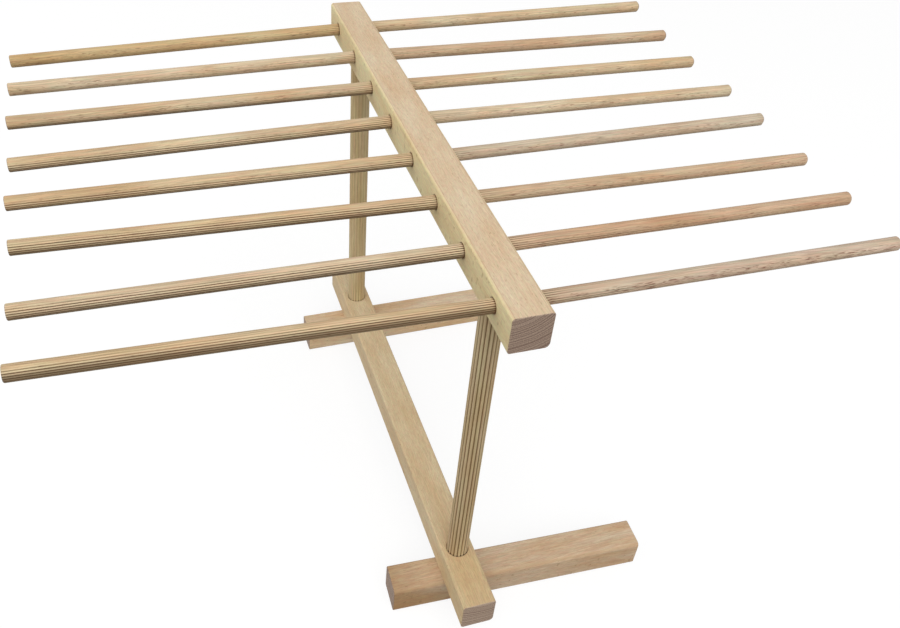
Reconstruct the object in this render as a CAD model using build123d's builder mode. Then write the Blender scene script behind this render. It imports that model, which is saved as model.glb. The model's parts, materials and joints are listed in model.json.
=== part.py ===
"""Pasta drying rack in beech: two rails, two posts, two swivelling feet and sixteen reeded arms.

Units are millimetres. +X runs along the arms to the right, +Y along the rails away from the viewer
and +Z up. The origin lies on the ground, below the middle of the base rail.
"""
from build123d import *
from math import cos, radians, sin
import os

# Square beech bar that the rails and the feet are cut from, with one edge worn rounder than the rest
bar_width = 22.0
bar_height = 22.0
bar_edge_round = 1.7
bar_worn_edge_round = 3.0
bar_end_ease = 0.3

# Arms, in blind sockets along both sides of the top rail, drilled a little above its middle
arm_pitch = 45.0
arm_rise = 0.9
arm_diameter = 8.0
arm_reach = 219.0
arm_socket_depth = 8.0
arm_groove_count = 20
arm_groove_radius = 0.4
arm_groove_depth = 0.3
arm_seated_chamfer = 0.8
left_tip_chamfer = 0.4
right_tip_chamfer = 1.5

# Angle in degrees by which each arm droops, nearest arm first: the sockets are drilled a little off level
left_droop_angles = (-1.4, -0.3, -1.1, -0.1, 1.0, 0.6, 1.0, 1.7)
right_droop_angles = (0.3, 0.3, 0.5, -0.4, 0.4, 0.4, 0.5, -0.5)
arms_per_side = len(left_droop_angles)

# Length that each arm is cut over the usual reach, or under it where negative, nearest arm first
left_arm_extras = (-1.0, -1.0, -2.0, 1.0, 1.0, 2.0, 2.0, 2.0)
right_arm_extras = (-2.0, -1.0, 0.5, -3.0, 1.5, -2.0, 0.0, -0.5)

# Posts, glued through the base rail, whose lower ends are the pivots of the feet
post_diameter = 14.0
post_free_height = 220.0
post_top_socket_depth = 14.0
post_groove_count = 18
post_groove_radius = 0.6
post_groove_depth = 0.45
post_end_chamfer = 1.0

# Feet, each turned a little off square about its post
foot_socket_depth = 15.0
folded_feet_gap = 2.0
near_foot_turn = -2.5
far_foot_turn = 0.6

# Clearances: around each round fit, and between faces that meet or seat on each other
fit_clearance = 0.05
seat_gap = 0.3

# Easing around the mouth of each socket in the rails: its width and its angle in degrees
mouth_ease = 0.4
mouth_angle = 70

# How far a cutting shape runs past the solid that it cuts
overrun = 5.0

# Heights, from the ground up through the feet, the base rail, the posts and the top rail
base_rail_bottom = bar_height + seat_gap
base_rail_top = base_rail_bottom + bar_height
top_rail_bottom = base_rail_top + post_free_height
top_rail_middle = top_rail_bottom + bar_height / 2
arm_height = top_rail_middle + arm_rise

# Both rails run on for half a pitch past the outermost arms, and each post stands midway between the
# two outermost arms of its end
rail_length = arm_pitch * arms_per_side
first_arm_y = -arm_pitch * (arms_per_side - 1) / 2
post_y = arm_pitch * (arms_per_side - 2) / 2
post_bottom = bar_height - foot_socket_depth + seat_gap
post_top = top_rail_bottom + post_top_socket_depth - seat_gap

# Folded under the base rail, the feet end flush with its ends and nearly meet in its middle
foot_short_reach = rail_length / 2 - post_y
foot_long_reach = post_y - folded_feet_gap / 2

post_bore_radius = post_diameter / 2 + fit_clearance
arm_bore_radius = arm_diameter / 2 + fit_clearance


def bar_blank(plane, start, end):
    """Length of square bar along the plane's normal. Its worn edge is the one at the plane's +x and +y."""
    to_worn_corner = Axis((0, 0, 0), (1, 1, 0))
    with BuildPart() as blank:
        with BuildSketch(plane.offset(start)) as section:
            Rectangle(bar_width, bar_height)
            fillet(section.vertices().sort_by(to_worn_corner)[-1], bar_worn_edge_round)
            fillet(section.vertices().sort_by(to_worn_corner)[:3], bar_edge_round)
        extrude(amount=end - start)
        sawn_ends = blank.faces().sort_by(Axis(plane.origin, plane.z_dir))
        chamfer(sawn_ends[0].edges() + sawn_ends[-1].edges(), bar_end_ease)
    return blank.part


def reeded_dowel(plane, start, end, radius, start_chamfer, end_chamfer, grooves, groove_radius, groove_depth):
    """Round dowel along the plane's normal: a blank with two chamfered ends, then its lengthwise grooves."""
    profile_plane = Plane(plane.origin, x_dir=plane.x_dir, z_dir=-plane.y_dir)
    with BuildPart() as dowel:
        with BuildSketch(profile_plane):
            with BuildLine():
                Polyline(
                    (0, start),
                    (radius - start_chamfer, start),
                    (radius, start + start_chamfer),
                    (radius, end - end_chamfer),
                    (radius - end_chamfer, end),
                    (0, end),
                    close=True,
                )
            make_face()
        revolve(axis=Axis(plane.origin, plane.z_dir))
        with BuildSketch(plane.offset(start - overrun)):
            with PolarLocations(radius - groove_depth + groove_radius, grooves):
                Circle(groove_radius)
        extrude(amount=end - start + 2 * overrun, mode=Mode.SUBTRACT)
    return dowel.part


def socket_plane(side, number, droop):
    """Plane at an arm's socket on one side of the top rail: its normal points out along the arm."""
    lean = radians(droop)
    return Plane(
        origin=(side * bar_width / 2, first_arm_y + (number - 1) * arm_pitch, arm_height),
        x_dir=(0, 1, 0),
        z_dir=(side * cos(lean), 0, -sin(lean)),
    )


def foot(place_y, turn):
    """Foot that lies across the base rail, with the blind socket that turns on its post."""
    heading = radians(turn)
    across = Plane(
        origin=(0, place_y, bar_height / 2),
        x_dir=(sin(heading), -cos(heading), 0),
        z_dir=(-cos(heading), -sin(heading), 0),
    )
    blank = bar_blank(across, -foot_long_reach, foot_short_reach)
    with BuildPart() as drilled:
        add(blank)
        with Locations((0, place_y, bar_height)):
            Hole(radius=post_bore_radius, depth=foot_socket_depth)
    return drilled.part


def post(place_y):
    """Post from the foot's socket, through the base rail, to the top rail's socket."""
    return reeded_dowel(
        Plane(origin=(0, place_y, 0)),
        post_bottom,
        post_top,
        post_diameter / 2,
        post_end_chamfer,
        post_end_chamfer,
        post_groove_count,
        post_groove_radius,
        post_groove_depth,
    )


def arm(side, number, droop, extra, tip_chamfer):
    """Arm from the floor of its socket to its free tip."""
    return reeded_dowel(
        socket_plane(side, number, droop),
        seat_gap - arm_socket_depth,
        arm_reach + extra,
        arm_diameter / 2,
        arm_seated_chamfer,
        tip_chamfer,
        arm_groove_count,
        arm_groove_radius,
        arm_groove_depth,
    )


# Each side of the arms: its name, its direction along X, its droops, its extra lengths and its tip chamfer
arm_sides = (
    ("left", -1, left_droop_angles, left_arm_extras, left_tip_chamfer),
    ("right", 1, right_droop_angles, right_arm_extras, right_tip_chamfer),
)

along_top_rail = Plane(origin=(0, 0, top_rail_middle), x_dir=(1, 0, 0), z_dir=(0, 1, 0))
along_base_rail = Plane(origin=(0, 0, base_rail_bottom + bar_height / 2), x_dir=(1, 0, 0), z_dir=(0, 1, 0))
top_rail_blank = bar_blank(along_top_rail, -rail_length / 2, rail_length / 2)
base_rail_blank = bar_blank(along_base_rail, -rail_length / 2, rail_length / 2)

# Top rail: blind sockets for the posts from below, and for the arms from both sides
with BuildPart() as top_rail:
    add(top_rail_blank)
    for place_y in (-post_y, post_y):
        with Locations(Plane(origin=(0, place_y, top_rail_bottom), z_dir=(0, 0, -1))):
            CounterSinkHole(
                radius=post_bore_radius,
                counter_sink_radius=post_bore_radius + mouth_ease,
                depth=post_top_socket_depth,
                counter_sink_angle=mouth_angle,
            )
    for side_name, side, droops, extras, tip_chamfer in arm_sides:
        for number, droop in enumerate(droops, start=1):
            with Locations(socket_plane(side, number, droop)):
                CounterSinkHole(
                    radius=arm_bore_radius,
                    counter_sink_radius=arm_bore_radius + mouth_ease,
                    depth=arm_socket_depth,
                    counter_sink_angle=mouth_angle,
                )

# Base rail: through bores for the posts
with BuildPart() as base_rail:
    add(base_rail_blank)
    with Locations((0, -post_y, base_rail_top), (0, post_y, base_rail_top)):
        CounterSinkHole(
            radius=post_bore_radius,
            counter_sink_radius=post_bore_radius + mouth_ease,
            counter_sink_angle=mouth_angle,
        )

pieces = {
    "top_rail": top_rail.part,
    "base_rail": base_rail.part,
    "near_post": post(-post_y),
    "far_post": post(post_y),
    "near_foot": foot(-post_y, near_foot_turn),
    "far_foot": foot(post_y, far_foot_turn),
}
for side_name, side, droops, extras, tip_chamfer in arm_sides:
    for number, (droop, extra) in enumerate(zip(droops, extras), start=1):
        pieces[f"{side_name}_arm_{number}"] = arm(side, number, droop, extra, tip_chamfer)

os.makedirs("parts", exist_ok=True)
for name, piece in pieces.items():
    piece.label = name
    export_step(piece, f"parts/{name}.step")
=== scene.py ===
"""Looks of the pasta drying rack: bare beech bars and reeded dowels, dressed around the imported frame.

Everything stands in metres in the frame's own axes: +X along the arms, +Y along the rails and +Z up.
Sizes that a joiner would read off a rule are in millimetres, and their names end in _mm.
"""

import json
import logging
import math
from dataclasses import dataclass, field, replace
from enum import Enum

import bmesh
import bpy
from bpy.types import Material, Node, NodeSocket, NodeTree, Object
from mathutils import Matrix, Vector, noise


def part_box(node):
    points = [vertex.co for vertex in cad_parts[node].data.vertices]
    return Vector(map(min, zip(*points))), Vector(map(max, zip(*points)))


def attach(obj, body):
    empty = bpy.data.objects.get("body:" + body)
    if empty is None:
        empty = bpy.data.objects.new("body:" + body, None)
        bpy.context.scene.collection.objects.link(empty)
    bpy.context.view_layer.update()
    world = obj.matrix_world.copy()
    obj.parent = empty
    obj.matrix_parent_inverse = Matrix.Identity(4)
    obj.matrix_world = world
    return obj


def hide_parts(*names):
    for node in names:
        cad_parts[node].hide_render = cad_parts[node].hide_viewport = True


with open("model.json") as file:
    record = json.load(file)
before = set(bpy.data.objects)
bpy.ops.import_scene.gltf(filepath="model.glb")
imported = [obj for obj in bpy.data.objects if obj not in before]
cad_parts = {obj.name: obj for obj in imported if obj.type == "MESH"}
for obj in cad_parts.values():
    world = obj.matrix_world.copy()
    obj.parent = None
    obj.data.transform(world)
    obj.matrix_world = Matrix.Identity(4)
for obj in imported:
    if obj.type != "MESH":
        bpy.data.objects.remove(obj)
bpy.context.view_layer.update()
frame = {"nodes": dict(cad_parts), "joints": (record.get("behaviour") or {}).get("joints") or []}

log = logging.getLogger("pasta drying rack")

Colour = tuple[float, float, float, float]
Triple = tuple[float, float, float]
Pair = tuple[float, float]

MM = 0.001
UP = Vector((0, 0, 1))

# Settings of a Mix node for colours, and of a Map Range node that eases in and out
BLEND = {"data_type": "RGBA"}
TINT = {"data_type": "RGBA", "blend_type": "MULTIPLY"}
SMOOTH = {"interpolation_type": "SMOOTHSTEP"}


def linear(code: str) -> Colour:
    """Turns an sRGB hex colour into the linear values that a shader socket takes.

    Args:
        code: the colour, written as #rrggbb.

    Returns:
        Linear red, green, blue and an alpha of 1.
    """
    shares = [int(code[i:i + 2], 16) / 255 for i in (1, 3, 5)]
    return (*[c / 12.92 if c <= 0.04045 else ((c + 0.055) / 1.055) ** 2.4 for c in shares], 1.0)


def clamp(value: float, high: float = 1.0) -> float:
    """Keeps a value between 0 and high."""
    return min(max(value, 0.0), high)


def add(tree: NodeTree, kind: str, inputs: list | tuple | dict = (), **settings: str) -> Node:
    """Adds one shader node with its settings and links.

    Args:
        tree: the node tree that gets the node.
        kind: the node's type, less the ShaderNode that starts its full name.
        inputs: what goes into the inputs in use, from the top one down, or into some of them by name. Each
            is a value, an output socket or a whole node, whose first output in use is meant.
        **settings: the node's own properties, such as operation.

    Returns:
        The new node.
    """
    node = tree.nodes.new(f"ShaderNode{kind}")
    for name, value in settings.items():
        setattr(node, name, value)
    sockets = [socket for socket in node.inputs if socket.enabled]
    if isinstance(inputs, dict):
        named = {socket.name: socket for socket in sockets}
        sockets, inputs = [named[name] for name in inputs], inputs.values()
    for socket, value in zip(sockets, inputs):
        if isinstance(value, Node):
            value = next(output for output in value.outputs if output.enabled)
        if isinstance(value, NodeSocket):
            tree.links.new(value, socket)
        else:
            socket.default_value = value
    return node


class Tone(Enum):
    """Shade of one board or dowel: its colour as shares of the finish's red, green and blue."""

    LIGHT = (1.18, 1.20, 1.18)
    PALE = (1.02, 1.05, 1.10)
    CREAM = (1.07, 1.15, 1.30)
    TAN = (1.0, 1.0, 1.0)
    ROSE = (0.96, 0.95, 1.04)
    RUSSET = (0.90, 0.81, 0.85)
    AMBER = (0.97, 0.95, 0.84)
    ASH = (0.95, 1.03, 1.25)
    SMOKE = (0.90, 0.93, 1.14)
    STRAW = (1.05, 1.13, 0.97)


@dataclass(frozen=True)
class HeartwoodAndShade:
    """Browner colour that a piece runs into towards one end: browner wood on the arms, painted shade
    at the base rail's near end, and both on the near foot.

    Attributes:
        from_mm: place along the piece, from its middle, where the brown sets in.
        full_mm: place where it is fully there.
        strength: how brown it gets, from 0 to 1.
        lean: how far both places move out towards the low end for each millimetre of height.
    """

    from_mm: float
    full_mm: float
    strength: float
    lean: float = 0.0


@dataclass(frozen=True)
class Cut:
    """How one piece lay in the log that it was sawn from.

    Attributes:
        pith_mm: distance from the piece's middle to the heart of the log.
        ring_turn: degrees from the piece's second direction to the line out of the heart.
        slope: degrees by which the log's axis leans away from the piece's.
        seed: number that shifts every pattern, so that no two pieces look alike.
        tone: shade of the piece.
        side_tone: shade of a bar's two side faces, on top of that.
        heartwood_and_shade: browner colour at one end, if there is any: browner wood on some pieces and
        painted shade on others.
    """

    pith_mm: float
    ring_turn: float
    slope: float
    seed: int
    tone: Tone = Tone.TAN
    side_tone: Tone = Tone.TAN
    heartwood_and_shade: HeartwoodAndShade | None = None


@dataclass(frozen=True)
class SocketRow:
    """Evenly spaced sockets in a bar, whose rims the drill has darkened.

    Attributes:
        radius_mm: radius of the socket at its mouth.
        pitch_mm: distance from one socket to the next along the bar.
        first_mm: place of any one socket along the bar, from the bar's middle.
        rise_mm: height of the sockets above the middle of the face.
        face: direction that the sockets open to, in the bar's own directions.
        through: whether the opposite face has the same sockets.
        joint_shade_strength: how dark the painted shade on the rims is.
    """

    radius_mm: float
    pitch_mm: float
    first_mm: float
    rise_mm: float
    face: Triple
    through: bool
    joint_shade_strength: float


@dataclass(frozen=True)
class BareBeech:
    """Steamed European beech, planed or rounded and then sanded, with no oil or lacquer.

    Beech shows an even, faintly pink ground, hair-fine fibre lines, soft bands where a face cuts the yearly
    rings, short dark flecks where it cuts the rays, and a much darker end grain. A strength of 0 leaves its
    feature out.

    Attributes:
        ground, flush: the two colours that the wood drifts between.
        arris_shading: colour of a bar's rounded edges, a painted highlight on the rails and painted shade
            on the feet.
        crest, hollow: painted highlight on the reeds' tops and painted shade in the hollows between them.
        joint_shade: colour of the painted shade on the rims of sockets and where a dowel is seated.
        rosy, straw: the two tints of the fine mottle.
        fleck_from: level of the noise above which a fleck shows. Lower means more flecks.
        joint_shade_from_mm: distance from a bar's middle beyond which its faces show the painted shade on
            socket rims.
        seat_shade_mm: width of the ring of painted shade where a dowel enters its socket.
    """

    name: str
    ground: str = "#dcc9ad"
    flush: str = "#d3b594"
    latewood: str = "#b08c66"
    fleck: str = "#86603c"
    end_ground: str = "#a08b7b"
    end_line: str = "#6b5245"
    arris_shading: str = "#ddc99c"
    # Painted highlight on the reeds' crests and painted shade in their hollows
    crest: str = "#ecdab6"
    hollow: str = "#452608"
    # Painted shade on the undersides of the dowels
    underside_shade: str = "#4a3214"
    # Painted shade on socket rims and where a dowel sits in its socket
    joint_shade: str = "#5a3a1e"
    rosy: Triple = (1.0, 0.95, 0.935)
    straw: Triple = (1.0, 1.04, 0.985)
    # Tint of a browner end, which on the base rail is painted shade
    heart: Triple = (0.80, 0.72, 0.58)
    ring_mm: float = 1.5
    fibre_mm: float = 0.45
    fibre_length_mm: float = 50.0
    # Real flecks are half as wide, too fine to show
    fleck_width_mm: float = 0.5
    fleck_length_mm: float = 2.4
    fleck_from: float = 0.64
    # Real pores are a fifth as wide, too fine to show
    pore_mm: float = 0.5
    pore_length_mm: float = 2.5
    mottle_width_mm: float = 1.3
    mottle_length_mm: float = 3.0
    joint_shade_from_mm: float = 10.4
    seat_shade_mm: float = 0.9
    roughness: float = 0.62
    ring_strength: float = 0.09
    fleck_strength: float = 0.38
    streak_strength: float = 0.2
    arris_shading_strength: float = 0.3
    line_strength: float = 0.45
    end_line_strength: float = 0.8
    crest_highlight_strength: float = 0.8
    hollow_shade_strength: float = 1.0
    seat_shade_strength: float = 0.6


@dataclass
class BeechPainter:
    """Lays the patterns of bare beech over one piece, in the piece's own millimetres.

    Attributes:
        finish: the beech that the piece is made of.
        cut: how the piece lay in its log.
        centre: middle of the piece, in metres.
        axes: the piece's own directions as columns, with the grain along the first.
        sockets: rows of sockets whose rims get painted shade.
        seat_mm: on a reeded dowel, the place along it, from its middle, where it leaves its socket.
    """

    finish: BareBeech
    cut: Cut
    centre: Vector
    axes: Matrix
    sockets: tuple[SocketRow, ...] = ()
    seat_mm: float | None = None

    # The tree that is being filled, and what every pattern in it starts from
    tree: NodeTree = field(init=False)
    normal: NodeSocket = field(init=False)
    local: Node = field(init=False)
    shift: Triple = field(init=False)

    # Steps by which the seed shifts a pattern along, across and through the piece
    seed_steps: Triple = (3.7, 11.3, 5.9)
    # Slow wander of the log's heart, and the size of its waves
    sway_mm: float = 9.0
    sway_wave_mm: Triple = (125.0, 50.0, 50.0)
    # Years by which good and bad runs move the ring lines, and how often such runs come
    uneven_years: float = 2.6
    runs_per_mm: float = 0.21
    # Parts of a year in which the ring line darkens and breaks off
    darkening: Pair = (0.35, 0.92)
    closing: Pair = (0.94, 1.0)
    # Size of the ground's clouds. A band is where noise starts to show and where it shows fully
    cloud_mm: Triple = (55.6, 11.1, 11.1)
    cloud_band: Pair = (0.32, 0.68)
    mottle_band: Pair = (0.36, 0.64)
    fibre_band: Pair = (0.3, 0.7)
    fleck_fade: float = 0.1
    # How many times as deep as long the flecks of a flat face are
    fleck_depth_share: float = 6.0
    # Bands of the cosine between the surface and one of the piece's directions
    flat_face: Pair = (0.35, 0.8)
    fleck_side: Pair = (0.6, 0.9)
    line_face: Pair = (0.7, 0.9)
    # Bands of the product of two such cosines, which is 0.5 midway round an edge
    arris_shading_band: Pair = (0.33, 0.45)
    line_outer: Pair = (0.08, 0.16)
    line_inner: Pair = (0.34, 0.24)
    pore_band: Pair = (0.35, 0.65)
    # The darkest and the palest pore, as shares of the end grain's colour
    pore_shades: Pair = (0.58, 1.38)
    # Width of the painted shade on a rim, and the depth below the face over which it fades in
    rim_mm: float = 0.8
    rim_depth_mm: float = 0.3
    rosiest_reed: Colour = (0.98, 0.94, 0.94, 1.0)
    yellowest_reed: Colour = (1.02, 1.05, 1.0, 1.0)
    # Relief over which the painted shade at a dowel's seat deepens from the crests into the hollows
    seat_shade_relief: Pair = (-0.2, 0.6)
    bump_mm: float = 0.12
    bump_strength: float = 0.5
    roughness_changes: Pair = (-0.06, 0.08)
    refraction: float = 1.5
    shine: float = 0.25

    def material(self, piece: str) -> Material:
        """Makes the finish for the piece.

        Args:
            piece: the piece's name, which the material's name carries.

        Returns:
            A new node material that reads Object coordinates, normals and a dowel's own layers.
        """
        finish = self.finish
        made = bpy.data.materials.new(f"{finish.name}_{piece}")
        made.use_nodes = True
        tree = self.tree = made.node_tree
        tree.nodes.clear()
        seen = add(tree, "TexCoord")
        self.normal = seen.outputs["Normal"]
        # Millimetres in the piece's own directions: X runs with the grain
        self.local = add(tree, "Mapping", {
            "Vector": seen.outputs["Object"], "Location": self.centre, "Rotation": self.axes.to_euler(),
            "Scale": (MM, MM, MM)}, vector_type="TEXTURE")
        self.shift = tuple(self.cut.seed * step for step in self.seed_steps)
        log_space = self._log_space()
        late = self._latewood(log_space)
        lines = self._blobs(log_space, (finish.fibre_length_mm, finish.fibre_mm, finish.fibre_mm))
        fibre = add(tree, "TexNoise", {"Vector": lines, "Scale": 1.0, "Detail": 4.0, "Roughness": 0.62})
        dots = self._blobs(self.local, (finish.pore_length_mm, finish.pore_mm, finish.pore_mm))
        pores = add(tree, "TexNoise", {"Vector": dots, "Scale": 1.0, "Detail": 3.0, "Roughness": 0.7})
        colour = self._long_grain(late, fibre, self._flecks(log_space))
        if self.seat_mm is None:
            colour = self._faces(colour)
        end = add(tree, "MapRange", [self._facing(0), *self.flat_face], **SMOOTH)
        colour = add(tree, "Mix", [end, colour, self._end_grain(late, pores)], **BLEND)
        for row in self.sockets:
            colour = self._shaded_rims(colour, row)
        if self.seat_mm is not None:
            colour = self._reeds(colour)
        height = add(tree, "Mix", [end, fibre, pores])
        bumps = add(tree, "Bump", {
            "Height": height, "Strength": self.bump_strength, "Distance": self.bump_mm * MM})
        lowest, highest = [finish.roughness + change for change in self.roughness_changes]
        roughness = add(tree, "MapRange", [fibre, *self.fibre_band, lowest, highest])
        skin = add(tree, "BsdfPrincipled", {
            "Base Color": colour, "Roughness": roughness, "Normal": bumps, "IOR": self.refraction,
            "Specular IOR Level": self.shine})
        add(tree, "OutputMaterial", {"Surface": skin})
        return made

    def _blobs(self, space: Node, size_mm: Triple, shift: Triple = (0.0, 0.0, 0.0)) -> Node:
        """Counts millimetres in blobs, so that noise over them gets blobs of a real size.

        Args:
            space: the millimetres.
            size_mm: size of a blob in the three directions.
            shift: how many blobs the noise is moved by.

        Returns:
            The places in blobs.
        """
        rates = [1 / size for size in size_mm]
        return add(self.tree, "VectorMath", [space, rates, shift], operation="MULTIPLY_ADD")

    def _facing(self, direction: int) -> Node:
        """Gives the cosine between the surface and one of the piece's own directions, without its sign.

        Args:
            direction: 0 along the grain, 1 across it and 2 upwards on a bar.

        Returns:
            The cosine, from 0 to 1.
        """
        way = self.axes.col[direction]
        across = add(self.tree, "VectorMath", [self.normal, way], operation="DOT_PRODUCT")
        return add(self.tree, "Math", [across], operation="ABSOLUTE")

    def _log_space(self) -> Node:
        """Finds where each point lay in the log.

        Returns:
            Millimetres along the log's axis, around it and out from its heart.
        """
        tree, cut = self.tree, self.cut
        waves = self._blobs(self.local, self.sway_wave_mm, self.shift)
        sway = add(tree, "TexNoise", {"Vector": waves, "Scale": 1.0, "Detail": 2.0})
        off_centre = add(tree, "VectorMath", [sway.outputs["Color"], (0.5, 0.5, 0.5)], operation="SUBTRACT")
        swayed = add(tree, "VectorMath", [off_centre, (0.0, self.sway_mm, self.sway_mm), self.local],
                     operation="MULTIPLY_ADD")
        slope = math.radians(cut.slope)
        in_log = add(tree, "Mapping", {
            "Vector": swayed, "Location": (0.0, cut.pith_mm, 0.0),
            "Rotation": (math.radians(cut.ring_turn), slope, slope)})
        across = add(tree, "VectorMath", [in_log, (0.0, 1.0, 1.0)], operation="MULTIPLY")
        out = add(tree, "VectorMath", [across], operation="LENGTH")
        parts = add(tree, "SeparateXYZ", [in_log]).outputs
        turn = add(tree, "Math", [parts["Z"], parts["Y"]], operation="ARCTAN2")
        around = add(tree, "Math", [turn, cut.pith_mm], operation="MULTIPLY")
        return add(tree, "CombineXYZ", [parts["X"], around, out])

    def _latewood(self, log_space: Node) -> Node:
        """Finds the thin dense line that closes each yearly ring.

        Args:
            log_space: place in the log.

        Returns:
            1 on the line and 0 between the lines.
        """
        tree = self.tree
        out = add(tree, "SeparateXYZ", [log_space]).outputs["Z"]
        run = add(tree, "Math", [out, self.runs_per_mm, float(self.cut.seed)], operation="MULTIPLY_ADD")
        uneven = add(tree, "TexNoise", {"W": run, "Scale": 1.0, "Detail": 1.0}, noise_dimensions="1D")
        even_years = add(tree, "Math", [out, self.finish.ring_mm], operation="DIVIDE")
        years = add(tree, "Math", [uneven, self.uneven_years, even_years], operation="MULTIPLY_ADD")
        season = add(tree, "Math", [years], operation="FRACT")
        growing = add(tree, "MapRange", [season, *self.darkening], **SMOOTH)
        closing = add(tree, "MapRange", [season, *self.closing, 1.0, 0.0], **SMOOTH)
        return add(tree, "Math", [growing, closing], operation="MULTIPLY")

    def _flecks(self, log_space: Node) -> Node:
        """Finds the flecks: short where a flat face cuts the rays, and long dashes down a dowel's sides.

        Args:
            log_space: place in the log.

        Returns:
            1 on a fleck and 0 beside it.
        """
        finish, tree = self.finish, self.tree
        dowel = self.seat_mm is not None
        deep_mm = finish.fleck_width_mm if dowel else self.fleck_depth_share * finish.fleck_length_mm
        dashes = self._blobs(log_space, (finish.fleck_length_mm, finish.fleck_width_mm, deep_mm))
        rays = add(tree, "TexNoise", {"Vector": dashes, "Scale": 1.0, "Detail": 1.0})
        full = finish.fleck_from + self.fleck_fade
        flecks = add(tree, "MapRange", [rays, finish.fleck_from, full], **SMOOTH)
        if not dowel:
            return flecks
        sides = add(tree, "MapRange", [self._facing(1), *self.fleck_side], **SMOOTH)
        return add(tree, "Math", [flecks, sides], operation="MULTIPLY")

    def _long_grain(self, late: Node, fibre: Node, flecks: Node) -> Node:
        """Mixes the colour of the faces that run with the grain.

        Args:
            late: 1 on the ring lines.
            fibre: the fibre lines' noise.
            flecks: 1 on the flecks.

        Returns:
            The colour.
        """
        tree, cut, finish = self.tree, self.cut, self.finish
        clouds = add(tree, "TexNoise", {
            "Vector": self._blobs(self.local, self.cloud_mm, self.shift), "Scale": 1.0, "Detail": 3.0})
        flushed = add(tree, "MapRange", [clouds, *self.cloud_band])
        colour = add(tree, "Mix", [flushed, linear(finish.ground), linear(finish.flush)], **BLEND)
        for mask, strength, shown in ((late, finish.ring_strength, finish.latewood),
                                      (flecks, finish.fleck_strength, finish.fleck)):
            share = add(tree, "Math", [mask, strength], operation="MULTIPLY")
            colour = add(tree, "Mix", [share, colour, linear(shown)], **BLEND)
        spots = (finish.mottle_length_mm, finish.mottle_width_mm, finish.mottle_width_mm)
        mottle = add(tree, "TexNoise", {
            "Vector": self._blobs(self.local, spots, self.shift), "Scale": 1.0, "Detail": 2.0})
        share = add(tree, "MapRange", [mottle, *self.mottle_band], **SMOOTH)
        tint = add(tree, "Mix", [share, (*finish.rosy, 1.0), (*finish.straw, 1.0)], **BLEND)
        colour = add(tree, "Mix", [1.0, colour, tint], **TINT)
        streak = finish.streak_strength
        lines = add(tree, "MapRange", [fibre, *self.fibre_band, 1 - streak, 1 + streak])
        shade = add(tree, "VectorMath", [cut.tone.value, lines], operation="SCALE")
        colour = add(tree, "Mix", [1.0, colour, shade], **TINT)
        # A browner end: browner wood, which on the base rail stands for painted shade and on the near foot
        # partly does
        heart = cut.heartwood_and_shade
        if heart is None:
            return colour
        along = add(tree, "VectorMath", [self.local, (1.0, 0.0, heart.lean)], operation="DOT_PRODUCT")
        brown = add(tree, "MapRange", [along, heart.from_mm, heart.full_mm, 0.0, heart.strength], **SMOOTH)
        return add(tree, "Mix", [brown, colour, (*finish.heart, 1.0)], **TINT)

    def _faces(self, colour: Node) -> Node:
        """Shades a bar's side faces by themselves, and paints its rounded edges: a painted highlight on the
        rails and painted shade on the feet.

        Args:
            colour: the colour of the long grain.

        Returns:
            The colour with both.
        """
        tree, finish = self.tree, self.finish
        side, top = self._facing(1), self._facing(2)
        toned = add(tree, "Mix", [1.0, colour, (*self.cut.side_tone.value, 1.0)], **TINT)
        on_side = add(tree, "MapRange", [side, *self.flat_face], **SMOOTH)
        colour = add(tree, "Mix", [on_side, colour, toned], **BLEND)
        # Painted highlight along the rails' rounded edges, and painted shade along the feet's
        both = add(tree, "Math", [side, top], operation="MULTIPLY")
        edge = add(tree, "MapRange", [both, *self.arris_shading_band, 0.0, finish.arris_shading_strength], **SMOOTH)
        colour = add(tree, "Mix", [edge, colour, linear(finish.arris_shading)], **BLEND)
        # A hair-thin brown line is left where the rounding runs out into the top face
        outer = add(tree, "MapRange", [both, *self.line_outer], **SMOOTH)
        inner = add(tree, "MapRange", [both, *self.line_inner], **SMOOTH)
        line = add(tree, "Math", [outer, inner], operation="MULTIPLY")
        on_top = add(tree, "MapRange", [top, *self.line_face, 0.0, finish.line_strength], **SMOOTH)
        line = add(tree, "Math", [line, on_top], operation="MULTIPLY")
        return add(tree, "Mix", [line, colour, linear(finish.latewood)], **BLEND)

    def _end_grain(self, late: Node, pores: Node) -> Node:
        """Mixes the colour of the sawn ends, with the rings as arcs and the pores as fine dots.

        Args:
            late: 1 on the ring lines.
            pores: the pores' noise.

        Returns:
            The colour.
        """
        tree, finish = self.tree, self.finish
        arcs = add(tree, "Math", [late, finish.end_line_strength], operation="MULTIPLY")
        colour = add(tree, "Mix", [arcs, linear(finish.end_ground), linear(finish.end_line)], **BLEND)
        dots = add(tree, "MapRange", [pores, *self.pore_band, *self.pore_shades])
        shade = add(tree, "VectorMath", [self.cut.tone.value, dots], operation="SCALE")
        return add(tree, "Mix", [1.0, colour, shade], **TINT)

    def _shaded_rims(self, colour: Node, row: SocketRow) -> Node:
        """Paints shade on the rims of the sockets, where the dowels meet the bar.

        Args:
            colour: the bar's colour.
            row: the sockets.

        Returns:
            The colour with the rims.
        """
        tree = self.tree
        parts = add(tree, "SeparateXYZ", [self.local]).outputs
        along = add(tree, "Math", [parts["X"], row.first_mm], operation="SUBTRACT")
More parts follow.
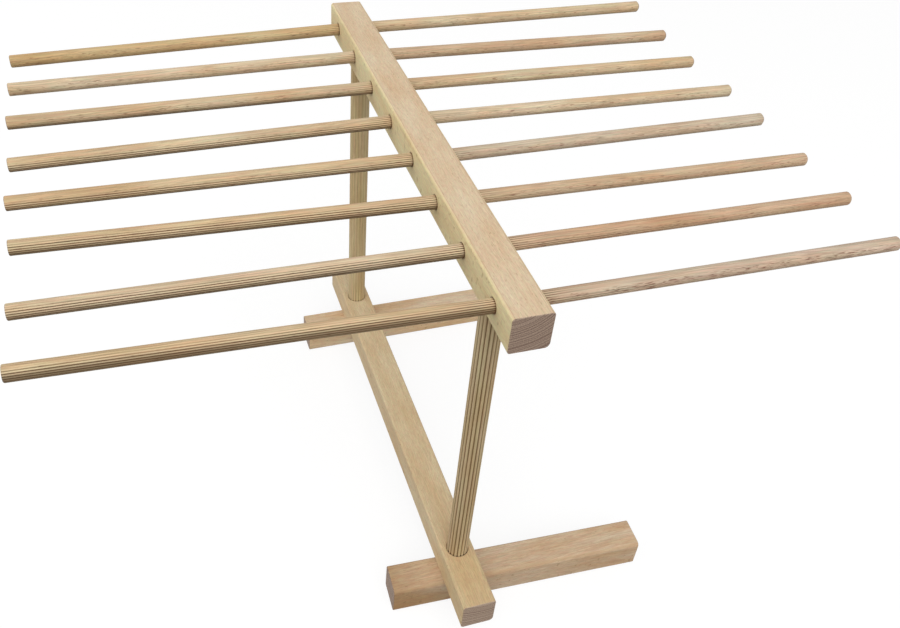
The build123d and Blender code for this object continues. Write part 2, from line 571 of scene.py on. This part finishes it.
        # Ping-pong folds the bar at every socket, so one ring stands for the whole row
        folded = add(tree, "Math", [along, row.pitch_mm / 2], operation="PINGPONG")
        across = parts["Y" if row.face[2] else "Z"]
        height = add(tree, "Math", [across, row.rise_mm], operation="SUBTRACT")
        from_centre = add(tree, "CombineXYZ", [folded, height])
        reach = add(tree, "VectorMath", [from_centre], operation="LENGTH")
        rim = add(tree, "MapRange", [
            reach, row.radius_mm, row.radius_mm + self.rim_mm, row.joint_shade_strength, 0.0], **SMOOTH)
        outward = add(tree, "VectorMath", [self.local, row.face], operation="DOT_PRODUCT")
        if row.through:
            outward = add(tree, "Math", [outward], operation="ABSOLUTE")
        face_mm = self.finish.joint_shade_from_mm
        on_face = add(tree, "MapRange", [outward, face_mm, face_mm + self.rim_depth_mm])
        rim_shade = add(tree, "Math", [rim, on_face], operation="MULTIPLY")
        return add(tree, "Mix", [rim_shade, colour, linear(self.finish.joint_shade)], **BLEND)

    def _reeds(self, colour: Node) -> Node:
        """Tints each reed a little differently, and adds a painted highlight on the crests and painted
        shade in the hollows, on the underside and at the seat, where the dowel enters its socket.

        Args:
            colour: the dowel's colour.

        Returns:
            The colour with all of them.
        """
        tree, finish = self.tree, self.finish
        shade, relief, underside_shade = [
            add(tree, "Attribute", attribute_name=layer).outputs["Fac"]
            for layer in (ReededDowel.reed_layer, ReededDowel.relief_layer, ReededDowel.underside_shade_layer)]
        tint = add(tree, "Mix", [shade, self.rosiest_reed, self.yellowest_reed], **BLEND)
        colour = add(tree, "Mix", [1.0, colour, tint], **TINT)
        # Painted highlight on the crests and painted shade in the hollows
        crest = add(tree, "MapRange", [relief, 0.0, -1.0, 0.0, finish.crest_highlight_strength])
        hollow = add(tree, "MapRange", [relief, 0.0, 1.0, 0.0, finish.hollow_shade_strength])
        along = add(tree, "SeparateXYZ", [self.local]).outputs["X"]
        seat_end = self.seat_mm + finish.seat_shade_mm
        at_seat = add(tree, "MapRange", [along, seat_end, self.seat_mm], **SMOOTH)
        # Painted shade where the dowel enters its socket, darkest in the hollows
        seat_shade_share = add(tree, "MapRange", [relief, *self.seat_shade_relief, finish.seat_shade_strength, 1.0])
        ring = add(tree, "Math", [at_seat, seat_shade_share], operation="MULTIPLY")
        for mask, shown in (
                (crest, finish.crest), (hollow, finish.hollow), (underside_shade, finish.underside_shade), (ring, finish.joint_shade)):
            colour = add(tree, "Mix", [mask, colour, linear(shown)], **BLEND)
        return colour


def dress_bar(node: str, along: Vector, finish: BareBeech, cut: Cut,
              sockets: tuple[SocketRow, ...] = ()) -> None:
    """Gives a square bar of the frame its finish.

    Args:
        node: the bar's name in the frame.
        along: direction of the bar's length.
        finish: the beech that it is made of.
        cut: how it lay in its log.
        sockets: rows of sockets whose rims get painted shade.
    """
    low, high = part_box(node)
    axes = Matrix((along, UP.cross(along), UP)).transposed()
    material = BeechPainter(finish, cut, (low + high) / 2, axes, sockets).material(node)
    for place in frame["nodes"][node].material_slots:
        place.material = material
    log.info("dressed %s with %s", node, material.name)


@dataclass(frozen=True)
class ReededStock:
    """Reeded dowel as it is sold, and how its seated end is worked.

    Attributes:
        diameter_mm: diameter over the reeds.
        reeds: how many reeds go round it.
        groove_depth_mm: depth of the hollows between the reeds.
        seated_ease_mm: chamfer at the seated end.
        seat_mm: length of that end that the socket hides.
        depth_shares: depth below the crest as shares of the hollow's, at even steps from the floor of one
            hollow to the floor of the next.
        relief_shares: 1 where a hollow gets its full painted shade, down to -1 where a crest gets its full
        painted highlight, at those steps.
    """

    diameter_mm: float
    reeds: int
    groove_depth_mm: float
    seated_ease_mm: float
    seat_mm: float
    depth_shares: tuple[float, ...]
    relief_shares: tuple[float, ...]


@dataclass(frozen=True)
class DowelLook:
    """What tells one dowel from the next.

    Attributes:
        seed: number that varies its grain and its wear.
        tone: its shade.
        kept: share of the reeds' depth that the sander has left.
        heartwood_and_shade: browner wood at one end, if there is any.
        shaded_below: height up to which painted shade darkens the underside, as a share of the radius above
            the middle.
        lingering: share of the reeds' depth that is left besides at the socket, and fades out from there.
        flecked: whether its sides cut the rays all along, and so show many more flecks.
    """

    seed: int
    tone: Tone
    kept: float
    heartwood_and_shade: HeartwoodAndShade | None = None
    shaded_below: float = -1.0
    lingering: float = 0.0
    flecked: bool = False


@dataclass
class ReededDowel:
    """Round beech dowel with lengthwise reeds, which replaces a plainer one of the frame.

    Attributes:
        node: the frame's dowel that it replaces.
        body: the body that it rides on.
        start: middle of its first end, in metres.
        axis: unit direction of its length.
        length_mm: its length.
        last_ease_mm: chamfer at its last end.
        stock: what it is cut from.
        look: what tells it from the other dowels.
    """

    node: str
    body: str
    start: Vector
    axis: Vector
    length_mm: float
    last_ease_mm: float
    stock: ReededStock
    look: DowelLook

    # Relief, which sets the painted shade in the hollows and the painted highlight on the crests:
    # 1 on the floor of a full hollow, -1 on the crest of a full reed and 0 where the dowel is smooth
    relief_layer: str = "reed_relief"
    # From 0 to 1, how pale and yellow each reed is at each place
    reed_layer: str = "reed_shade"
    # From 0 to 1, how much painted shade darkens the dowel's underside
    underside_shade_layer: str = "reed_underside_shade"
    # Longest stretch between two rings of the mesh
    step_mm: float = 7.0
    # Share of the chamfer that is cut halfway along it, so that the end is a little rounded
    halfway_ease_share: float = 0.45
    # Steps of the drifting noise from reed to reed, for each millimetre along, and from dowel to dowel
    depth_drift: Triple = (5.3, 0.035, 9.1)
    crest_drift: Triple = (3.1, 0.08, 4.7)
    shade_drift: Triple = (7.7, 0.03, 2.9)
    # How far the depth of a hollow, the height of a crest and the shade of a reed drift
    uneven_share: float = 0.4
    crest_rub_mm: float = 0.03
    shade_span: float = 0.9
    # Share of the depth that the sander took off along the top of a level dowel
    top_rubbed: float = 0.92
    # Height at which it starts to, where all and where none of the reeds is kept, and the height it takes
    rub_height_kept: float = 0.75
    rub_height_gone: float = -0.45
    rub_fade: float = 0.3
    # Away from the top it left a little more than the share that is kept overall
    kept_gain: float = 1.3
    # Beside its socket the dowel is out of the sander's reach
    sheltered_from_mm: float = 2.0
    sheltered_mm: float = 16.0
    shelter_share: float = 0.5
    # Stretch over which lingering reeds fade out
    lingering_mm: float = 130.0
    # How fast the painted shade deepens down the underside, and its darkest share
    underside_shade_gain: float = 1.1
    deepest_underside_shade: float = 0.72
    # Where the log's heart lay, which goes round a few values from dowel to dowel
    nearest_pith_mm: float = 28.0
    pith_step_mm: float = 9.0
    pith_places: int = 5
    first_ring_turn: float = -20.0
    ring_turn_step: float = 15.0
    ring_turns: int = 4
    grain_slope: float = 0.8

    @property
    def axes(self) -> Matrix:
        """The dowel's own directions as columns, with the grain along the first and +Y as the second."""
        side = Vector((0, 1, 0))
        return Matrix((self.axis, side, self.axis.cross(side))).transposed()

    def stations(self) -> list[tuple[float, float]]:
        """Lays out the rings of the mesh.

        Returns:
            The place of each ring along the dowel and the widest radius there, in mm.
        """
        radius = self.stock.diameter_mm / 2
        first, last = self.stock.seated_ease_mm, self.last_ease_mm
        steps = round((self.length_mm - first - last) / self.step_mm)
        run = [first + (self.length_mm - first - last) * i / steps for i in range(1, steps)]
        return [
            (0.0, radius - first),
            (first / 2, radius - first * self.halfway_ease_share),
            (first, radius),
            *[(place, radius) for place in run],
            (self.length_mm - last, radius),
            (self.length_mm - last / 2, radius - last * self.halfway_ease_share),
            (self.length_mm, radius - last),
        ]

    def _drift(self, reed: int, place: float, steps: Triple) -> float:
        """Gives slow noise from about -1 to 1, by the steps for the reed, the place in mm and the seed."""
        return noise.noise(Vector((reed * steps[0], place * steps[1], self.look.seed * steps[2])))

    def _depth_left(self, reed: int, place: float, up: float) -> float:
        """Finds how much of a hollow's depth is left at one point.

        Args:
            reed: number of the reed.
            place: distance from the dowel's first end, in mm.
            up: height above the dowel's middle, as a share of its radius.

        Returns:
            The share that is left, from 0 to 1.
        """
        out = place - self.stock.seat_mm
        overall = self.look.kept + self.look.lingering * clamp(1 - out / self.lingering_mm)
        rubbed_from = self.rub_height_gone + (self.rub_height_kept - self.rub_height_gone) * overall
        rubbed_off = self.top_rubbed * clamp((up - rubbed_from) / self.rub_fade)
        sheltered = 1 - clamp((out - self.sheltered_from_mm) / self.sheltered_mm)
        kept = min(self.kept_gain * overall, 1.0)
        kept += (1 - kept) * self.shelter_share * sheltered
        uneven = 1.0 + self.uneven_share * self._drift(reed, place, self.depth_drift)
        return min(uneven * (1 - rubbed_off * (1 - sheltered)) * kept, 1.0)

    def surface(self, turn: float, place: float, widest: float) -> tuple[float, float, float, float]:
        """Shapes one point of the surface.

        Args:
            turn: angle round the dowel, in radians.
            place: distance from its first end, in mm.
            widest: radius that the end's chamfer leaves there, in mm.

        Returns:
            The radius in mm, the relief from 1 in a hollow to -1 on a crest, and the reed's tint and the
            painted shade of the underside, both from 0 to 1.
        """
        stock = self.stock
        steps = len(stock.depth_shares)
        step = round(turn / math.tau * stock.reeds * steps)
        reed = step // steps % stock.reeds
        up = math.sin(turn) * self.axes[2][2]
        left = self._depth_left(reed, place, up)
        # Between the hollows, the tops of the reeds are rubbed down here and there
        rubbed = self.crest_rub_mm * (1 + self._drift(reed, place, self.crest_drift))
        depth = stock.groove_depth_mm * stock.depth_shares[step % steps] * left
        radius = min(stock.diameter_mm / 2 - depth - rubbed, widest)
        shade = 0.5 + self.shade_span * self._drift(reed, place, self.shade_drift)
        # Painted shade, darker the lower the point lies on the dowel
        underside_shade = clamp(self.underside_shade_gain * (self.look.shaded_below - up), self.deepest_underside_shade)
        return radius, stock.relief_shares[step % steps] * left, shade, underside_shade

    def build(self) -> Object:
        """Makes the dowel, ring by ring, and puts it in place of the frame's.

        Returns:
            The dowel's object.
        """
        mesh_tool = bmesh.new()
        relief, reed_shade, underside_shade = [
            mesh_tool.verts.layers.float.new(layer)
            for layer in (self.relief_layer, self.reed_layer, self.underside_shade_layer)]
        around = self.stock.reeds * len(self.stock.depth_shares)
        ring = bmesh.ops.create_circle(mesh_tool, segments=around, radius=1.0)["verts"]
        edges = list(mesh_tool.edges)
        ends = [edges]
        for number, (place, widest) in enumerate(self.stations()):
            if number:
                grown = bmesh.ops.extrude_edge_only(mesh_tool, edges=edges)["geom"]
                ring = [v for v in grown if isinstance(v, bmesh.types.BMVert)]
                edges = [e for e in grown if isinstance(e, bmesh.types.BMEdge)
                         and e.verts[0] in ring and e.verts[1] in ring]
            for vertex in ring:
                turn = math.atan2(vertex.co.y, vertex.co.x) % math.tau
                radius, vertex[relief], vertex[reed_shade], vertex[underside_shade] = self.surface(turn, place, widest)
                vertex.co = Vector((math.cos(turn) * radius, math.sin(turn) * radius, place))
        ends.append(edges)
        for rim in ends:
            bmesh.ops.edgeloop_fill(mesh_tool, edges=rim)
        for face in mesh_tool.faces:
            face.smooth = True
        for edge in ends[0] + ends[1]:
            edge.smooth = False
        bmesh.ops.recalc_face_normals(mesh_tool, faces=mesh_tool.faces)
        # Extruding leaves edges and faces in an order that changes from run to run, so they are sorted
        mesh_tool.verts.index_update()
        count = len(mesh_tool.verts)
        for parts in (mesh_tool.edges, mesh_tool.faces):
            parts.sort(key=lambda part: min(v.index for v in part.verts) * count
                       + max(v.index for v in part.verts))
        axes = self.axes
        turned = Matrix((axes.col[1], axes.col[2], axes.col[0])).transposed().to_4x4()
        place_matrix = Matrix.Translation(self.start) @ turned @ Matrix.Scale(MM, 4)
        bmesh.ops.transform(mesh_tool, matrix=place_matrix, verts=mesh_tool.verts)
        mesh = bpy.data.meshes.new(f"{self.node}_reeded")
        mesh_tool.to_mesh(mesh)
        mesh_tool.free()
        piece = bpy.data.objects.new(f"{self.node}_reeded", mesh)
        bpy.context.scene.collection.objects.link(piece)
        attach(piece, self.body)
        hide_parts(self.node)
        return piece

    def dress(self, piece: Object, finish: BareBeech) -> None:
        """Gives the built dowel its finish.

        Args:
            piece: the built dowel.
            finish: the beech that it is made of.
        """
        look = self.look
        middle = self.start + self.axis * (self.length_mm * MM / 2)
        pith_mm = self.nearest_pith_mm + self.pith_step_mm * (look.seed % self.pith_places)
        ring_turn = self.ring_turn_step * (look.seed % self.ring_turns) + self.first_ring_turn
        cut = Cut(pith_mm, ring_turn, self.grain_slope, look.seed, look.tone, heartwood_and_shade=look.heartwood_and_shade)
        seat = self.stock.seat_mm - self.length_mm / 2
        painter = BeechPainter(finish, cut, middle, self.axes, seat_mm=seat)
        piece.data.materials.append(painter.material(self.node))
        log.info("built %s: %d faces", piece.name, len(piece.data.polygons))


@dataclass
class Arms:
    """The sixteen reeded arms: well kept reeds on the left, and nearly smooth ones on the right."""

    stock: ReededStock = ReededStock(
        diameter_mm=8.0, reeds=20, groove_depth_mm=0.3, seated_ease_mm=0.8, seat_mm=7.7,
        depth_shares=(1.0, 0.85, 0.35, 0.08, 0.0, 0.08, 0.35, 0.85),
        relief_shares=(1.0, 0.7, 0.0, -0.5, -0.8, -0.5, 0.0, 0.7))
    left_tip_ease_mm: float = 0.4
    right_tip_ease_mm: float = 1.5
    # By how much an arm is shorter than the one in the frame, so that it stays inside its box
    inside_mm: float = 0.02
    browner_tip: HeartwoodAndShade = HeartwoodAndShade(from_mm=-10.0, full_mm=114.0, strength=0.24)
    faint_tip: HeartwoodAndShade = HeartwoodAndShade(from_mm=20.0, full_mm=114.0, strength=0.12)
    browner_root: HeartwoodAndShade = HeartwoodAndShade(from_mm=-5.0, full_mm=-105.0, strength=0.4)
    # Nearest arm first on each side
    # Painted shade darkens the undersides of the nearer left arms most
    left_looks: tuple[DowelLook, ...] = (
        DowelLook(1, Tone.TAN, 0.97, browner_tip, shaded_below=0.8),
        DowelLook(2, Tone.CREAM, 0.92, browner_tip, shaded_below=0.42),
        DowelLook(3, Tone.TAN, 0.88, browner_tip, shaded_below=0.34),
        DowelLook(4, Tone.TAN, 0.62, browner_tip, shaded_below=0.06),
        DowelLook(5, Tone.PALE, 0.62, browner_tip, shaded_below=0.08),
        DowelLook(6, Tone.PALE, 0.3, browner_tip, shaded_below=0.1),
        DowelLook(7, Tone.CREAM, 0.08, browner_tip),
        DowelLook(8, Tone.AMBER, 0.1, browner_tip))
    right_looks: tuple[DowelLook, ...] = (
        DowelLook(21, Tone.SMOKE, 0.12, browner_root, lingering=0.42, flecked=True),
        DowelLook(22, Tone.RUSSET, 0.25, lingering=0.3),
        DowelLook(23, Tone.ROSE, 0.2, faint_tip, lingering=0.1),
        DowelLook(24, Tone.ASH, 0.08, faint_tip),
        DowelLook(25, Tone.CREAM, 0.15, faint_tip),
        DowelLook(26, Tone.PALE, 0.1, faint_tip),
        DowelLook(27, Tone.ROSE, 0.03, faint_tip),
        DowelLook(28, Tone.PALE, 0.03, faint_tip))
    finish: BareBeech = field(default_factory=lambda: BareBeech(
        "arm_beech", ground="#d1bc9b", flush="#c7a781", fleck="#74442e", joint_shade="#633a14",
        rosy=(1.04, 0.97, 0.96), straw=(0.965, 1.025, 1.0), fibre_mm=0.6, fleck_width_mm=0.42,
        fleck_length_mm=5.0, fleck_from=0.60, mottle_width_mm=0.9, mottle_length_mm=14.0,
        fleck_strength=0.75, streak_strength=0.3))

    @property
    def flecked_finish(self) -> BareBeech:
        """The same finish with many more flecks."""
        return replace(self.finish, fleck_from=0.555, fleck_strength=0.85)

    def build(self) -> None:
        """Builds and dresses every arm, along the slide that it is pulled out by."""
        pulls = {joint["child"]: Vector(joint["axis"]) for joint in frame["joints"]}
        sides = (("left", self.left_looks, self.left_tip_ease_mm),
                 ("right", self.right_looks, self.right_tip_ease_mm))
        for side, looks, tip_ease_mm in sides:
            for number, look in enumerate(looks, start=1):
                node = f"{side}_arm_{number}"
                axis = pulls[node].normalized()
                low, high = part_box(node)
                # A leaning arm's box is a little longer than the arm, by the slant of its two ends
                thick_mm = self.stock.diameter_mm - self.stock.seated_ease_mm - tip_ease_mm
                slant = thick_mm * MM * abs(axis.z)
                length = (high.x - low.x - slant) / abs(axis.x) - self.inside_mm * MM
                dowel = ReededDowel(
                    node=node, body=node, start=(low + high) / 2 - axis * length / 2, axis=axis,
                    length_mm=length / MM, last_ease_mm=tip_ease_mm, stock=self.stock, look=look)
                finish = self.flecked_finish if look.flecked else self.finish
                dowel.dress(dowel.build(), finish)


@dataclass
class Posts:
    """The two reeded posts. The near one keeps its reeds, and the far one is sanded nearly smooth."""

    stock: ReededStock = ReededStock(
        diameter_mm=14.0, reeds=18, groove_depth_mm=0.45, seated_ease_mm=1.0, seat_mm=37.0,
        depth_shares=(1.0, 0.80, 0.15, 0.03, 0.0, 0.03, 0.15, 0.80),
        relief_shares=(1.0, 0.55, -0.3, -0.8, -1.0, -0.8, -0.3, 0.55))
    near_look: DowelLook = DowelLook(41, Tone.TAN, 1.0)
    far_look: DowelLook = DowelLook(42, Tone.LIGHT, 0.28)
    # Its crest and hollow colours are painted highlight and painted shade on the reeds
    finish: BareBeech = field(default_factory=lambda: BareBeech(
        "post_beech", ground="#c0ae8c", flush="#b1966e", crest="#d2c0a0", hollow="#4f3518",
        mottle_width_mm=1.6, mottle_length_mm=25.0, fleck_strength=0.30, crest_highlight_strength=0.35,
        hollow_shade_strength=0.95, seat_shade_strength=0.1))

    def build(self) -> None:
        """Builds and dresses both posts, from their feet to the top rail."""
        for node, look in (("near_post", self.near_look), ("far_post", self.far_look)):
            low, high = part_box(node)
            foot = Vector(((low.x + high.x) / 2, (low.y + high.y) / 2, low.z))
            dowel = ReededDowel(
                node=node, body="base", start=foot, axis=UP, length_mm=(high.z - low.z) / MM,
                last_ease_mm=self.stock.seated_ease_mm, stock=self.stock, look=look)
            dowel.dress(dowel.build(), self.finish)


@dataclass
class Rails:
    """The top rail and the base rail, both kept from the frame."""

    arm_pitch_mm: float = 45.0
    arm_socket_mm: float = 4.45
    arm_rise_mm: float = 0.9
    post_spacing_mm: float = 270.0
    post_socket_mm: float = 7.45
    top_cut: Cut = Cut(pith_mm=34.0, ring_turn=112.0, slope=0.6, seed=3, side_tone=Tone.STRAW)
    # The base rail's near end gets painted shade, as the top rail and the arms shade it less than the rest
    base_cut: Cut = Cut(pith_mm=40.0, ring_turn=95.0, slope=0.7, seed=8,
                        heartwood_and_shade=HeartwoodAndShade(from_mm=-115.0, full_mm=-150.0, strength=0.5))
    # Its arris colour is a painted highlight along the top rail's rounded edges
    finish: BareBeech = field(default_factory=lambda: BareBeech(
        "rail_beech", fibre_length_mm=7.0, streak_strength=0.15))
    base_finish: BareBeech = field(default_factory=lambda: BareBeech(
        "rail_beech", ground="#d5c2a0", flush="#ccb08a", end_ground="#b39d8a", fibre_length_mm=9.0,
        arris_shading_strength=0.0, line_strength=0.0))

    def build(self) -> None:
        """Dresses both rails."""
        along = Vector((0, 1, 0))
        # Painted shade on the rims where the arms and the posts enter the rails
        arms = SocketRow(
            self.arm_socket_mm, self.arm_pitch_mm, first_mm=self.arm_pitch_mm / 2, rise_mm=self.arm_rise_mm,
            face=(0, 1, 0), through=True, joint_shade_strength=0.25)
        posts_below = SocketRow(
            self.post_socket_mm, self.post_spacing_mm, first_mm=self.post_spacing_mm / 2, rise_mm=0.0,
            face=(0, 0, -1), through=False, joint_shade_strength=0.3)
        posts_through = replace(posts_below, face=(0, 0, 1), through=True, joint_shade_strength=0.12)
        dress_bar("top_rail", along, self.finish, self.top_cut, (arms, posts_below))
        dress_bar("base_rail", along, self.base_finish, self.base_cut, (posts_through,))


@dataclass
class Feet:
    """The two feet, kept from the frame. The near one turns brown towards its short end."""

    # The near foot browns towards its short end: partly browner wood, and partly painted shade that the
    # lean makes darkest low on its front face
    near_cut: Cut = Cut(pith_mm=55.0, ring_turn=70.0, slope=0.9, seed=12,
                        heartwood_and_shade=HeartwoodAndShade(from_mm=-30.0, full_mm=-72.0, strength=1.0, lean=2.5))
    # The far foot's paler tone is partly painted light, which lifts the shade that the rails and the arms
    # throw on it
    far_cut: Cut = Cut(pith_mm=65.0, ring_turn=100.0, slope=0.5, seed=15, tone=Tone.LIGHT,
                       side_tone=Tone.LIGHT)
    # Its arris colour is painted shade, which dulls the highlight that the lamps put on the rounded edges
    finish: BareBeech = field(default_factory=lambda: BareBeech(
        "foot_beech", ground="#cfb9a0", flush="#c2a17e", arris_shading="#b3956f", rosy=(0.98, 0.92, 0.91),
        straw=(1.01, 1.06, 1.03), heart=(0.72, 0.62, 0.48), fibre_length_mm=20.0, mottle_width_mm=1.4,
        mottle_length_mm=6.0, streak_strength=0.22, arris_shading_strength=0.4, line_strength=0.0))

    def build(self) -> None:
        """Dresses both feet."""
        along = Vector((1, 0, 0))
        dress_bar("near_foot", along, self.finish, self.near_cut)
        dress_bar("far_foot", along, self.finish, self.far_cut)


@dataclass(frozen=True)
class SoftLamp:
    """Square soft lamp: its name, where it hangs and its side in metres, and its power in watts."""

    name: str
    place: Triple
    size: float
    power: float


@dataclass
class Studio:
    """White sweep, soft lamps and the camera at the photograph's viewing angle.

    Attributes:
        axis_across_px, axis_down_px: where the lens's axis meets the photograph.
        heading, look_down, roll: turn of the camera from +Y to +X, its tilt and its roll, in degrees.
        stand: where the camera stands, in metres.
        aim: what the lamps point at, in metres.
        ambient: strength of the plain light from all round.
        floor_drop_mm: gap that keeps the floor clear of the soles.
        floor_glow: brightness that the camera sees even in the deepest shadow.
        floor_seen: colour of the floor in the camera's eye, on top of that.
        floor_lighting: colour of the floor for the light that it throws on the wood.
    """

    photo_width_px: float = 900.0
    photo_height_px: float = 628.0
    focal_px: float = 921.7
    axis_across_px: float = 427.6
    axis_down_px: float = 336.4
    heading: float = 21.03
    look_down: float = 41.88
    roll: float = 5.05
    stand: Triple = (-0.1612, -0.4648, 0.5583)
    aim: Triple = (0.0, 0.0, 0.2)
    lamps: tuple[SoftLamp, ...] = (
        SoftLamp("key_lamp", (-0.46, -1.9, 2.5), size=3.0, power=60.0),
        SoftLamp("right_lamp", (1.2, -1.1, 0.4), size=0.8, power=4.0),
        SoftLamp("left_lamp", (-2.2, 0.3, 0.8), size=1.6, power=17.5))
    ambient: float = 0.5
    floor_size: float = 8.0
    floor_drop_mm: float = 0.1
    floor_glow: float = 0.84
    floor_seen: str = "#787878"
    floor_lighting: str = "#6a665f"

    def build(self) -> None:
        """Makes the floor, the world, the lamps and the camera."""
        self.make_floor()
        self.make_world()
        for lamp in self.lamps:
            self.hang(lamp)
        self.make_camera()

    def white_share(self, tree: NodeTree) -> Node:
        """Tells the rays that are looked along from those that light the wood.

        Args:
            tree: the node tree that gets the nodes.

        Returns:
            1 for rays from the camera, a reflection or a refraction, and 0 for the others.
        """
        rays = add(tree, "LightPath").outputs
        seen = add(tree, "Math", [rays["Is Camera Ray"], rays["Is Glossy Ray"]], operation="MAXIMUM")
        return add(tree, "Math", [seen, rays["Is Transmission Ray"]], operation="MAXIMUM")

    def make_floor(self) -> None:
        """Makes the pale floor, which looks white and keeps a faint shadow."""
        mesh_tool = bmesh.new()
        bmesh.ops.create_grid(mesh_tool, x_segments=1, y_segments=1, size=self.floor_size / 2)
        bmesh.ops.translate(mesh_tool, verts=mesh_tool.verts, vec=(0, 0, -self.floor_drop_mm * MM))
        mesh = bpy.data.meshes.new("floor")
        mesh_tool.to_mesh(mesh)
        mesh_tool.free()
        floor = bpy.data.objects.new("floor", mesh)
        bpy.context.scene.collection.objects.link(floor)
        paper = bpy.data.materials.new("white_paper")
        paper.use_nodes = True
        tree = paper.node_tree
        tree.nodes.clear()
        white = self.white_share(tree)
        level = add(tree, "Math", [white, self.floor_glow], operation="MULTIPLY")
        glow = add(tree, "Emission", {"Strength": level})
        tint = add(tree, "Mix", [white, linear(self.floor_lighting), linear(self.floor_seen)], **BLEND)
        matt = add(tree, "BsdfDiffuse", {"Color": tint})
        both = add(tree, "AddShader", [glow, matt])
        add(tree, "OutputMaterial", {"Surface": both})
        mesh.materials.append(paper)

    def make_world(self) -> None:
        """Makes the surroundings: white to look at, and a plain soft light on the wood."""
        world = bpy.data.worlds.new("studio")
        bpy.context.scene.world = world
        world.use_nodes = True
        tree = world.node_tree
        tree.nodes.clear()
        level = add(tree, "Mix", [self.white_share(tree), self.ambient, 1.0])
        sky = add(tree, "Background", {"Color": linear("#ffffff"), "Strength": level})
        add(tree, "OutputWorld", {"Surface": sky})

    def hang(self, lamp: SoftLamp) -> None:
        """Hangs one lamp, turned towards the rack.

        Args:
            lamp: the lamp.
        """
        light = bpy.data.lights.new(lamp.name, "AREA")
        light.size = lamp.size
        light.energy = lamp.power
        held = bpy.data.objects.new(lamp.name, light)
        held.location = lamp.place
        held.rotation_euler = (Vector(self.aim) - Vector(lamp.place)).to_track_quat("-Z", "Y").to_euler()
        bpy.context.scene.collection.objects.link(held)

    def make_camera(self) -> None:
        """Stands the camera where the photograph was taken from."""
        lens = bpy.data.cameras.new("camera")
        lens.sensor_width = 36.0
        lens.lens = self.focal_px / self.photo_width_px * lens.sensor_width
        lens.shift_x = (self.photo_width_px / 2 - self.axis_across_px) / self.photo_width_px
        lens.shift_y = (self.axis_down_px - self.photo_height_px / 2) / self.photo_width_px
        lens.clip_start = 0.01
        camera = bpy.data.objects.new("camera", lens)
        turn = (Matrix.Rotation(math.radians(-self.heading), 4, "Z")
                @ Matrix.Rotation(math.radians(90 - self.look_down), 4, "X")
                @ Matrix.Rotation(math.radians(self.roll), 4, "Z"))
        camera.matrix_world = Matrix.Translation(self.stand) @ turn
        bpy.context.scene.collection.objects.link(camera)
        bpy.context.scene.camera = camera


def main() -> None:
    """Builds and dresses the rack, sub-assembly by sub-assembly, and then the studio round it."""
    logging.basicConfig(level=logging.INFO, format="%(name)s: %(message)s")
    bpy.context.scene.view_settings.view_transform = "Standard"
    for part in (Rails(), Feet(), Posts(), Arms(), Studio()):
        part.build()
        log.info("finished %s", type(part).__name__)


if __name__ == "__main__":
    main()
